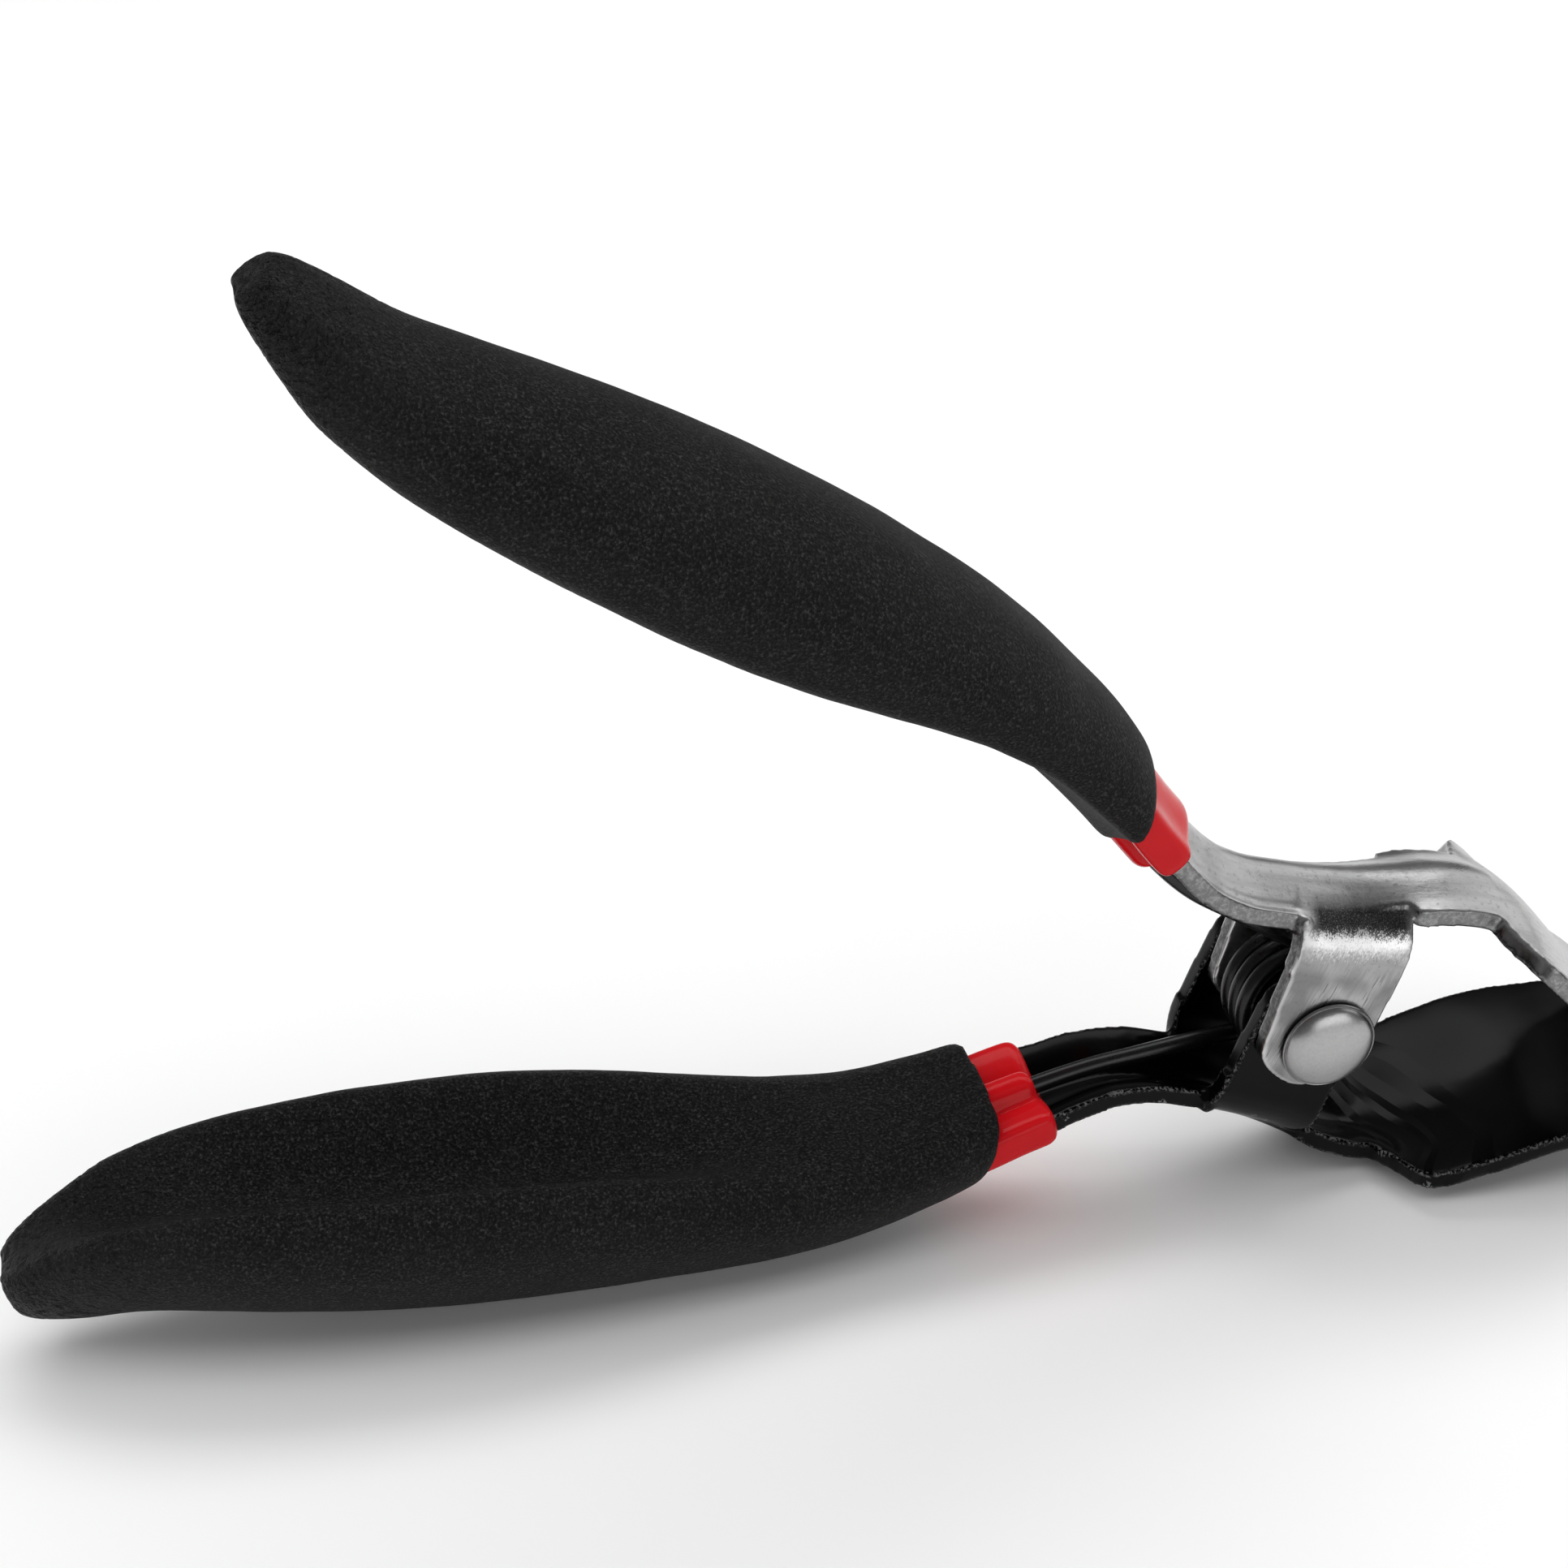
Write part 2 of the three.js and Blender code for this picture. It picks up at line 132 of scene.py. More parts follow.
# cushion grip: s, rim n, crown n, half width, trough height over the rims, lean,
# then what the lower grip adds to its rim, crown and trough
GRIP = [
    (39.4, 7.3, 16.6, 10.0, -3.0, 3.4, -2.5, 0.5, 2.6),
    (46, 8.2, 18.4, 10.6, -2.4, 2.4, -2.4, 0.7, 2.3),
    (55, 9.2, 19.8, 11.7, -1.8, 1.2, -2.4, 0.8, 1.6),
    (63, 8.8, 20.8, 12.9, 0.0, 0.4, -2.5, 0.2, 0),
    (72, 7.1, 21.3, 13.8, 3.0, 0, -2.7, -0.3, 0),
    (85, 3.9, 20.9, 14.7, 6.6, 0, -2.9, -0.7, 0),
    (98, 1.4, 19.7, 15.1, 7.6, 0, -3.0, -0.6, 0),
    (112, -0.3, 17.5, 14.7, 7.2, 0, -2.9, -0.3, 0),
    (124, -1.4, 14.9, 13.5, 5.9, 0, -2.7, -0.1, 0),
    (134, -1.9, 12.6, 11.8, 4.3, -0.2, -2.5, 0, 0),
    (143, -1.2, 10.8, 9.6, 2.4, -0.6, -2.2, 0.4, 0),
    (150, 0.9, 10.4, 7.3, 0.8, -1.2, -1.7, 0.9, 0),
    (154, 2.6, 10.1, 5.7, 0.3, -2.0, -1.4, 1.0, 0),
    (156.8, 4.0, 9.6, 4.2, 0.1, -1.6, -1.0, 0.8, 0),
]

TIP_START = 122                # distance behind the pivot where the grips' tips start to crease
TIP_FADE = 14                  # distance over which the creases reach their full depth

# spring legs: x, z, share of the way from the coil end to the lever's centre plane
LEG = {
    "upper": [
        (-9, 10.4, 0.1),
        (-14.5, 12.0, 0.1),
        (*handle(25, 5.2), 0.1),
        (*handle(31.3, 5.8), 0.1),
        (*handle(39, 7.6), 0.2),
        (*handle(46, 9.4), 0.4),
        (*handle(53, 11.0), 0.5),
        (*handle(60, 11.7), 0.5),
    ],
    "lower": [
        (-9, 10.6, 0.5),
        (-15.8, 13.0, 0.8),
        (-21.9, 15.1, 1.1),
        (-27.5, 17.7, 1.35),
        (*handle(42.4, 8.5), 1.4),
        (*handle(50, 10.1), 1.4),
        (*handle(60, 11.0), 1.4),
    ],
}
# y of the coil's two ends, each just inside the innermost ear on its side
LEG_Y = {"upper": -EAR_Y + SHEET + OFFSET + GAP + WIRE_R, "lower": EAR_Y - SHEET - GAP - WIRE_R}
COVERED = 3                    # first point of each leg that the dipped skin covers


# ---- number helpers ----
def pchip(t, rows, at):
    """Smooth interpolation of rows at the places t, with no overshoot, read at the places at."""
    rows = np.asarray(rows, float)
    h = np.diff(t)
    slope = np.diff(rows, axis=0) / h[:, None]
    m = np.zeros_like(rows)
    w1 = (2 * h[1:] + h[:-1])[:, None]
    w2 = (h[1:] + 2 * h[:-1])[:, None]
    same = slope[:-1] * slope[1:] > 0
    with np.errstate(divide="ignore", invalid="ignore"):
        mean = (w1 + w2) / (w1 / slope[:-1] + w2 / slope[1:])
    m[1:-1] = np.where(same, mean, 0)
    m[0], m[-1] = slope[0], slope[-1]
    k = np.clip(np.searchsorted(t, at, side="right") - 1, 0, len(h) - 1)
    u = ((at - t[k]) / h[k])[:, None]
    step = h[k][:, None]
    return ((2 * u**3 - 3 * u**2 + 1) * rows[k] + (u**3 - 2 * u**2 + u) * step * m[k]
            + (-2 * u**3 + 3 * u**2) * rows[k + 1] + (u**3 - u**2) * step * m[k + 1])


def catmull(points, count, closed=False):
    """A smooth curve through points, resampled to count points evenly along its length."""
    steps = 14                 # points on each span before the resampling
    p = np.asarray(points, float)
    if closed:
        p = np.vstack([p[-1], p, p[0], p[1]])
    else:
        p = np.vstack([2 * p[0] - p[1], p, 2 * p[-1] - p[-2]])
    out = []
    for a, b, c, d in zip(p, p[1:], p[2:], p[3:]):
        ta = 0.0
        tb = ta + np.linalg.norm(b - a) ** 0.5
        tc = tb + np.linalg.norm(c - b) ** 0.5
        td = tc + np.linalg.norm(d - c) ** 0.5
        t = np.linspace(tb, tc, steps, endpoint=False)[:, None]
        ab = (tb - t) / (tb - ta) * a + (t - ta) / (tb - ta) * b
        bc = (tc - t) / (tc - tb) * b + (t - tb) / (tc - tb) * c
        cd = (td - t) / (td - tc) * c + (t - tc) / (td - tc) * d
        abc = (tc - t) / (tc - ta) * ab + (t - ta) / (tc - ta) * bc
        bcd = (td - t) / (td - tb) * bc + (t - tb) / (td - tb) * cd
        out.append((tc - t) / (tc - tb) * abc + (t - tb) / (tc - tb) * bcd)
    fine = np.vstack(out + ([] if closed else [p[-2][None]]))
    if closed:
        fine = np.vstack([fine, fine[:1]])
    run = np.concatenate([[0], np.cumsum(np.linalg.norm(np.diff(fine, axis=0), axis=1))])
    at = np.linspace(0, run[-1], count, endpoint=not closed)
    return np.column_stack([np.interp(at, run, fine[:, k]) for k in range(fine.shape[1])])


# ---- mesh helpers ----
def loft(rings):
    """Closed shell through rings of equal length; each end pairs the ring across its long sides."""
    n = len(rings[0])
    verts = np.vstack(rings)
    faces = []
    for i in range(len(rings) - 1):
        for j in range(n):
            k = (j + 1) % n
            faces.append((i * n + j, i * n + k, (i + 1) * n + k, (i + 1) * n + j))
    last = (len(rings) - 1) * n
    for base, flip in ((0, True), (last, False)):
        for j in range(n // 2 - 1):
            quad = (base + j, base + j + 1, base + n - 2 - j, base + n - 1 - j)
            faces.append(quad[::-1] if flip else quad)
    return verts, faces


def sweep(points, radius, sides):
    """Round closed tube along points, of one radius or a radius at each point."""
    p = np.asarray(points, float)
    tangent = np.gradient(p, axis=0)
    tangent /= np.linalg.norm(tangent, axis=1)[:, None]
    side = np.cross(tangent[0], (0.0, 1.0, 0.1))
    rings = []
    for centre, t, r in zip(p, tangent, np.broadcast_to(radius, len(p))):
        side = side - t * side.dot(t)
        side /= np.linalg.norm(side)
        up = np.cross(t, side)
        a = np.arange(sides) / sides * 2 * math.pi
        rings.append(centre + r * (np.cos(a)[:, None] * side + np.sin(a)[:, None] * up))
    return loft(rings)


def new_object(name, verts, faces):
    """Adds a mesh object to the scene."""
    mesh = bpy.data.meshes.new(name)
    mesh.from_pydata([tuple(v) for v in verts], [], faces)
    mesh.validate()
    obj = bpy.data.objects.new(name, mesh)
    bpy.context.scene.collection.objects.link(obj)
    return obj


def join_shells(shells):
    """Several lofts as one list of vertices and one of faces."""
    verts, faces, base = [], [], 0
    for v, f in shells:
        verts.append(v)
        faces += [tuple(i + base for i in face) for face in f]
        base += len(v)
    return np.vstack(verts), faces


def fuse(name, shells, voxel, passes):
    """Merges overlapping closed shells into one skin with softened edges, still in mm."""
    obj = new_object(name, *join_shells(shells))
    remesh = obj.modifiers.new("fuse", "REMESH")
    remesh.mode = "VOXEL"
    remesh.voxel_size = voxel
    soften = obj.modifiers.new("soften", "SMOOTH")
    soften.factor = 0.5
    soften.iterations = passes
    bake_modifiers(obj)
    return obj


def bake_modifiers(obj):
    """Puts the modifiers' result in the mesh and takes the modifiers off."""
    graph = bpy.context.evaluated_depsgraph_get()
    mesh = bpy.data.meshes.new_from_object(obj.evaluated_get(graph))
    obj.modifiers.clear()
    old = obj.data
    obj.data = mesh
    bpy.data.meshes.remove(old)


def read_points(obj):
    co = np.empty(len(obj.data.vertices) * 3)
    obj.data.vertices.foreach_get("co", co)
    return co.reshape(-1, 3)


def write_points(obj, co):
    obj.data.vertices.foreach_set("co", co.ravel())
    obj.data.update()


def to_lower(obj):
    """The lower side is the upper one mirrored and moved one sheet across."""
    co = read_points(obj)
    co[:, 2] *= -1
    co[:, 1] += OFFSET
    write_points(obj, co)
    obj.data.flip_normals()


def place(obj, material, body, node):
    """Tool frame mm to row frame metres, then material, body if it has one, and its CAD node."""
    obj.data.transform(TO_ROW)
    obj.data.polygons.foreach_set("use_smooth", [True] * len(obj.data.polygons))
    obj.data.materials.clear()
    obj.data.materials.append(material)
    if body:
        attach(obj, body)
    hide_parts(node)


# ---- levers ----
def lever_path(step, last=-1):
    """Stations every step along LEVER, from the handle tip to its row last."""
    rows = np.array(LEVER)
    run = np.concatenate([[0], np.cumsum(np.hypot(*np.diff(rows[:, :2], axis=0).T))])
    at = np.linspace(0, run[last], int(run[last] / step) + 1)
    return pchip(run, rows, at)


def sheet_row(station, tangent, reach, height, groove):
    """Points across the crowned sheet at a height over its outer face, so inside it if negative."""
    steps = 28
    x, z, half_width, drop = station
    tx, tz = tangent
    u = reach * (1 - 2 * np.arange(steps + 1) / steps)
    t = np.minimum(np.abs(u) / half_width, 1)
    slope = -np.sign(u) * drop * math.pi * np.sin(math.pi * t) / (2 * half_width)
    norm = np.hypot(slope, 1)
    v = -drop * (0.5 - 0.5 * np.cos(math.pi * t)) + height / norm
    if GROOVE[0] < x < GROOVE[1]:
        v -= groove * np.exp(-((np.abs(u) - half_width + GROOVE_INSET) / GROOVE_WIDTH) ** 2)
    return np.column_stack([x - v * tz, u - height * slope / norm, z + v * tx])


def arch_rings(path, grow, groove=0.0):
    """Crowned sheet sections along the path, grown on every side by one number per section."""
    tangent = np.gradient(path[:, :2], axis=0)
    tangent /= np.linalg.norm(tangent, axis=1)[:, None]
    rings = []
    for station, along, g in zip(path, tangent, np.broadcast_to(grow, len(path))):
        x, _, half_width, _ = station
        reach = min(half_width, NOTCH_REACH) if NOTCH[0] < x < NOTCH[1] else half_width
        outer = sheet_row(station, along, reach + g, g, groove)
        inner = sheet_row(station, along, -(reach + g), -SHEET - g, 0.0)
        rings.append(np.vstack([outer, inner]))
    return rings


def saddle():
    """U section that turns the strip down into the two ears."""
    foot = 8.5                 # under EAR_TOP, so that the saddle and the ear plates overlap
    stations = [(SADDLE[0], 17.95), (-4, 18.35), (1, 18.95), (SADDLE[1], 19.95)]
    at = np.linspace(*SADDLE, 20)
    crown = pchip(np.array([s[0] for s in stations]), [[s[1]] for s in stations], at)[:, 0]
    rings = []
    for x, c in zip(at, crown):
        half = [(0, c - 0.05), (2.4, c - 0.78), (4.4, c - 1.9), (6.2, c - 2.95), (7.6, c - 4.2),
                (8.6, c - 5.75), (EAR_Y, c - 7.8), (EAR_Y, foot)]
        outer = np.array([(-y, z) for y, z in half[:0:-1]] + half)
        outer = catmull(outer, 48)
        along = np.gradient(outer, axis=0)
        along /= np.linalg.norm(along, axis=1)[:, None]
        inner = outer + SHEET * np.column_stack([along[:, 1], -along[:, 0]])
        ring = np.vstack([outer, inner[::-1]])
        rings.append(np.column_stack([np.full(len(ring), x), ring]))
    return loft(rings)


def ear(side):
    """Ear plate round the pivot hole, as a ring from the hole out to the outline."""
    back, front = -8.6, 5.9    # x at the top edge
    sides = catmull([(back, EAR_TOP), (-8.1, 1.0), (-7.3, -3.6), (-3.6, -6.2), (-1.1, -6.6),
                     (1.4, -5.9), (4.4, -3.4), (5.4, 1.0), (front, EAR_TOP)], 90)
    across = np.linspace(front, back, 30)[1:-1]
    top = np.column_stack([across, np.full(len(across), EAR_TOP)])
    outline = np.vstack([sides, top])
    angle = np.arctan2(outline[:, 1], outline[:, 0])
    hole = HOLE_R * np.column_stack([np.cos(angle), np.sin(angle)])
    y_out = side * EAR_Y
    y_in = side * (EAR_Y - SHEET)
    rings = []
    for edge, y in ((outline, y_out), (hole, y_out), (hole, y_in), (outline, y_in)):
        rings.append(np.column_stack([edge[:, 0], np.full(len(edge), y), edge[:, 1]]))
    n = len(outline)
    faces = []
    for i in range(4):
        for j in range(n):
            k = (j + 1) % n
            a, b = i * n, ((i + 1) % 4) * n
            quad = (a + j, a + k, b + k, b + j)
            faces.append(quad if side < 0 else quad[::-1])
    return np.vstack(rings), faces


def lump(centre, size):
    """Small rounded swelling where the sheet gathers at a notch corner."""
    sides = 16
    t = np.arange(sides) / sides * 2 * math.pi
    rings = []
    for a in np.linspace(-1.4, 1.4, 9):
        height = np.full(sides, np.sin(a))
        ring = np.column_stack([np.cos(a) * np.cos(t), height, np.cos(a) * np.sin(t)])
        rings.append(np.array(centre) + ring * size)
    return loft(rings)


def lever(name):
    """Stamped lever: the strip and flare, the saddle and two ears, with a lump by the near notch."""
    strip = loft(arch_rings(lever_path(0.8), 0, GROOVE_DEPTH))
    corner = lump((-8.3, -6.7, 13.9), (1.2, 1.0, 1.5))
    return fuse(name, [strip, saddle(), ear(1), ear(-1), corner], voxel=0.36, passes=3)


# ---- spring ----
def leg_points(which):
    """Leg centre line, which lies under its own lever."""
    sign = 1 if which == "upper" else -1
    end = LEG_Y[which]
    centre = 0 if which == "upper" else OFFSET
    return [(x, end + (centre - end) * share, sign * z) for x, z, share in LEG[which]]


def leave_angle(which):
    """Angle round the coil at which the straight run to a leg's first point is a tangent."""
    x, z, _ = LEG[which][0]
    return math.atan2(z, x) - math.acos(COIL_R / math.hypot(x, z))


def spring():
    """One wire: the lower leg, the coil round the rivet, and the upper leg."""
    coil_steps = 40
    start = leave_angle("lower")
    total = start + leave_angle("upper") + math.pi * 2 * FULL_TURNS
    points = leg_points("lower")[::-1]
    for i in range(coil_steps + 1):
        f = i / coil_steps
        a = -start + total * f
        y = LEG_Y["lower"] + (LEG_Y["upper"] - LEG_Y["lower"]) * f
        points.append((COIL_R * math.cos(a), y, COIL_R * math.sin(a)))
    points += leg_points("upper")
    return new_object("coil_spring", *sweep(catmull(points, 620), WIRE_R, 16))


# ---- dipped skins ----
def rounded(ring, count=96, spread=3.0):
    """A closed section with its corners rounded off, as a thick dip rounds them."""
    loop = np.vstack([ring, ring[:1]])
    run = np.concatenate([[0], np.cumsum(np.linalg.norm(np.diff(loop, axis=0), axis=1))])
    at = np.arange(count) / count * run[-1]
    even = np.column_stack([np.interp(at, run, loop[:, k]) for k in range(3)])
    near = range(-8, 9)        # neighbours that each point is averaged with
    weights = np.exp(-((np.array(near) / spread) ** 2))
    weights /= weights.sum()
    return sum(w * np.roll(even, k, axis=0) for k, w in zip(near, weights))


def lip(distance, length):
    """Share of full thickness at a distance from the dip's rounded lip."""
    t = np.clip(np.asarray(distance) / length, 0, 1)
    return np.sqrt(1 - (1 - t) ** 2)


def dip(name, which):
    """Glossy skin over the handle strip and over the spring leg lying under it."""
    step = 0.5
    film = 0.1                 # least thickness, at the open end
    regain = 0.25              # allowance for what rounding and smoothing take off
    path = lever_path(step, MOUTH)
    from_mouth = np.arange(len(path))[::-1] * step
    grow = film + (DIP + regain) * lip(from_mouth, LIP_LENGTH)
    skin = loft([rounded(ring) for ring in arch_rings(path, grow)])
    shift = 0 if which == "upper" else OFFSET
    sign = 1 if which == "upper" else -1
    points = [(x, y - shift, sign * z) for x, y, z in leg_points(which)[COVERED:]]
    # the rib runs a little past the end of the leg, under the cushion
    tip = handle(63, 11.9 if which == "upper" else 11.2)
    points.append((tip[0], points[-1][1], tip[1]))
    line = catmull(points, 80)[3:]
    along = np.concatenate([[0], np.cumsum(np.linalg.norm(np.diff(line, axis=0), axis=1))])
    rib = sweep(line, WIRE_R + film + RIB * lip(along, LIP_LENGTH), 20)
    return fuse(name, [skin, rib], voxel=0.34, passes=5)


# ---- cushion grips ----
def grip_section(w, h, trough, count):
    """Closed dished section of half width w; its crown h and its trough are heights over the rims."""
    half = [(0, h), (0.45 * w, 0.93 * h), (0.84 * w, 0.68 * h), (w, 0.34 * h),
            (0.9 * w, 0.07 * h), (0.7 * w, 0), (0.46 * w, min(0.42 * trough, 0.5 * h)),
            (0.22 * w, 0.86 * trough), (0, trough)]
    loop = half + [(-u, v) for u, v in half[-2:0:-1]]
    return np.roll(catmull(loop, count, closed=True), count // 4, axis=0)


def cushion_rings(which, step=1.0, count=72):
    """Grip sections along the handle, drawn in at both ends to round them off."""
    rows = np.array(GRIP, float)
    at = np.arange(rows[0, 0], rows[-1, 0], step)
    rows = pchip(rows[:, 0], rows, np.append(at, rows[-1, 0]))
    first, last = rows[0, 0], rows[-1, 0]
    rings = []
    for s, rim, crown, w, trough, lean, *change in rows:
        if which == "lower":
            rim, crown, trough = rim + change[0], crown + change[1], trough + change[2]
        h = crown - rim
        ring = []
        for u, v in grip_section(w, h, trough, count):
            x, z = handle(s + lean * v / h, rim + v)
            ring.append((x, u, z))
        ring = np.array(ring)
        centre = ring.mean(axis=0)
        nose = lip(last - s + 1.7, 3.2) * (0.94 + 0.06 * lip(s - first, 1.4))
        rings.append(centre + nose * (ring - centre))
    return rings


def cushion(name, which):
    """Dished foam-vinyl sleeve with soft edges and a faintly uneven surface."""
    obj = fuse(name, [loft(cushion_rings(which))], voxel=0.5, passes=5)
    co = read_points(obj)
    normals = np.empty(len(co) * 3)
    obj.data.vertices.foreach_get("normal", normals)
    normals = normals.reshape(-1, 3)
    swell, crease_depth = 0.08, 0.35
    lift = np.array([noise.noise(Vector(p) * 0.16) for p in co]) * swell
    tip = np.clip((-co[:, 0] - TIP_START) / TIP_FADE, 0, 1)
    # creases lie where this noise crosses zero
    wander = np.array([noise.noise(Vector((p[0] * 0.35, p[1] * 0.5, p[2] * 0.8))) for p in co])
    lift -= tip * np.clip(0.5 - np.abs(wander) * 5, 0, 0.5) * crease_depth
    write_points(obj, co + normals * lift[:, None])
    return obj


# ---- rivet ----
def turned(name, profile, segments):
    """Solid turned about the pivot axis from (radius, y) points that start and end on it."""
    a = np.arange(segments) / segments * 2 * math.pi
    verts, faces = [(0, profile[0][1], 0)], []
    for r, y in profile[1:-1]:
        verts += [(r * math.cos(t), y, r * math.sin(t)) for t in a]
    verts.append((0, profile[-1][1], 0))
    last = len(verts) - 1
    rings = len(profile) - 2
    for j in range(segments):
        k = (j + 1) % segments
        faces.append((0, 1 + j, 1 + k))
        for i in range(rings - 1):
            p = 1 + i * segments
            faces.append((p + j, p + segments + j, p + segments + k, p + k))
        p = 1 + (rings - 1) * segments
        faces.append((p + j, last, p + k))
    return new_object(name, verts, faces)


def rivet():
    """Rivet with a dome on a beaded rim at the near end and a smaller formed head at the far end."""
    near = -EAR_Y - GAP
    far = EAR_Y + OFFSET + GAP
    dome_r, dome_base = HEAD_R - 0.26, 0.3
    profile = [(0, near - HEAD_H)]
    for a in np.linspace(0, math.pi / 2, 15)[1:]:
        height = (HEAD_H - dome_base) * math.cos(a) ** 1.1
        profile.append((dome_r * math.sin(a) ** 0.92, near - dome_base - height))
    profile += [(HEAD_R - 0.1, near - 0.42), (HEAD_R, near - 0.32), (HEAD_R, near - 0.2),
                (HEAD_R - 0.15, near), (SHANK_R, near), (SHANK_R, far)]
    back_r, back_rim, back_h = HEAD_R * 0.9, 0.25, HEAD_H * 0.85
    profile += [(HEAD_R * 0.88, far), (back_r, far + back_rim)]
    for a in np.linspace(0, math.pi / 2, 11)[1:]:
        profile.append((back_r * math.cos(a), far + back_rim + (back_h - back_rim) * math.sin(a)))
    return turned("rivet_domed", profile, 72)


# ---- materials ----
def grey(level):
    """A colour with no hue."""
    return (level, level, level)


def material(name, base, roughness, metallic=0.0, specular=0.5):
    """A node material; gives it with its node tree and its shader node."""
    mat = bpy.data.materials.new(name)
    mat.use_nodes = True
    tree = mat.node_tree
    shader = tree.nodes["Principled BSDF"]
    shader.inputs["Base Color"].default_value = (*base, 1)
    shader.inputs["Roughness"].default_value = roughness
    shader.inputs["Metallic"].default_value = metallic
    shader.inputs["Specular IOR Level"].default_value = specular
    mat.diffuse_color = (*base, 1)
    return mat, tree, shader


def feed(tree, socket, value):
    """Links a node's socket to another node's output, or sets it to a number, vector or colour."""
    if isinstance(value, bpy.types.NodeSocket):
        tree.links.new(value, socket)
    elif socket.type == "RGBA":
        socket.default_value = (*value, 1)
    else:
        socket.default_value = value


def add(tree, kind, **inputs):
    """A new node with its inputs fed by name."""
    node = tree.nodes.new(kind)
    for name, value in inputs.items():
        feed(tree, node.inputs[name], value)
    return node


def coords(tree, scale=(1, 1, 1), turn=0.0):
    """Object coordinates turned about y and then stretched."""
    at = add(tree, "ShaderNodeTexCoord").outputs["Object"]
    turned_to = add(tree, "ShaderNodeMapping", Vector=at, Rotation=(0, turn, 0)).outputs["Vector"]
    return add(tree, "ShaderNodeMapping", Vector=turned_to, Scale=scale).outputs["Vector"]


def tool_xyz(tree):
    """Coordinates in the tool frame, mm."""
    back = TO_ROW.inverted()
    at = add(tree, "ShaderNodeTexCoord").outputs["Object"]
    there = add(tree, "ShaderNodeMapping", Vector=at, Location=back.translation,
                Rotation=(0, -PITCH, 0), Scale=(1000, 1000, 1000)).outputs["Vector"]
    return add(tree, "ShaderNodeSeparateXYZ", Vector=there).outputs


def math_node(tree, operation, a, b=0.0, c=0.0, clamp=False):
    """The operation on up to three numbers, kept within 0 and 1 if clamp is set."""
    node = tree.nodes.new("ShaderNodeMath")
    node.operation = operation
    node.use_clamp = clamp
    for socket, value in zip(node.inputs, (a, b, c)):
        feed(tree, socket, value)
    return node.outputs[0]


def times(tree, first, *others):
    """Product of the masks and numbers."""
    for other in others:
        first = math_node(tree, "MULTIPLY", first, other)
    return first


def shifted(tree, value, wander, amount):
    """value moved up and down by a noise about its middle."""
    return math_node(tree, "MULTIPLY_ADD", math_node(tree, "SUBTRACT", wander, 0.5), amount, value)


def band(tree, value, start, end, soft):
    """1 where value lies between start and end, and falling from 1 to 0 over soft at each of them."""
    middle, half = (start + end) / 2, (end - start) / 2
    away = math_node(tree, "ABSOLUTE", math_node(tree, "SUBTRACT", value, middle))
    inside = math_node(tree, "SUBTRACT", half + soft / 2, away)
    return math_node(tree, "DIVIDE", inside, soft, clamp=True)


def grain(tree, vector, scale, detail=3.0, roughness=0.55):
    """Noise from 0 to 1, with about scale cells to each unit of vector."""
    node = add(tree, "ShaderNodeTexNoise", Vector=vector, Scale=scale, Detail=detail,
               Roughness=roughness)
    return node.outputs["Fac"]


def ramp(tree, value, stops):
    """Colour read from (value, grey level) stops in rising order."""
    node = add(tree, "ShaderNodeValToRGB", Fac=value)
    while len(node.color_ramp.elements) < len(stops):
        node.color_ramp.elements.new(0.5)
    for element, (position, level) in zip(node.color_ramp.elements, stops):
        element.position = position
        element.color = (*grey(level), 1)
    return node.outputs["Color"]


def fade(tree, value, low, high):
    """0 where value is under low, 1 where it is over high."""
    return ramp(tree, value, [(low, 0.0), (high, 1.0)])


def bump(tree, height, distance, strength=1.0, over=None):
    """Surface relief from height, laid over another relief if one is given."""
    node = add(tree, "ShaderNodeBump", Height=height, Distance=distance, Strength=strength)
    if over is not None:
        tree.links.new(over, node.inputs["Normal"])
    return node.outputs["Normal"]


def mix(tree, mask, a, b):
    """Colour a where mask is 0 and b where it is 1."""
    node = tree.nodes.new("ShaderNodeMix")
    node.data_type = "RGBA"
    for number, value in ((0, mask), (6, a), (7, b)):    # names repeat for each data type
        feed(tree, node.inputs[number], value)
    return node.outputs[2]


def tint(tree, colour, mask, share, level):
    """Lays a share of a grey over colour where mask is 1."""
    return mix(tree, times(tree, mask, share), colour, grey(level))


def sharp_edges(tree, low, high):
    """Picks out the sharp outer edges of a piece."""
    return fade(tree, add(tree, "ShaderNodeNewGeometry").outputs["Pointiness"], low, high)


def painted_bend_reflections(tree, colour, x, side, z):
    """Painted reflections where each ear is bent down from the strip: a frayed dark band of painted
    shade over a bright band of painted highlight.
    """
    fray = grain(tree, coords(tree, (5600, 5600, 1500), -PITCH - SCRATCH_LEAN), 1.0, 2.0, 0.6)
    blotch = grain(tree, coords(tree), 700.0, 2.0)
    level = math_node(tree, "MULTIPLY_ADD", x, -0.13, z)
    level = shifted(tree, shifted(tree, level, fray, 4.5), blotch, 2.0)
    outside = times(tree, band(tree, x, -7.4, 5.6, 2.2), band(tree, side, 4.3, 12, 2.4))
    # a painted highlight band under a painted dark reflection band, specked by the fray noise
    bright = times(tree, outside, band(tree, level, 12.7, 14.7, 1.6))
    dark = times(tree, outside, band(tree, level, 14.6, 22, 0.6))
    colour = tint(tree, colour, bright, 0.85, 0.8)
    specks = fade(tree, fray, 0.5, 0.68)
    return mix(tree, times(tree, dark, 0.93), colour, mix(tree, specks, grey(0.012), grey(0.16)))


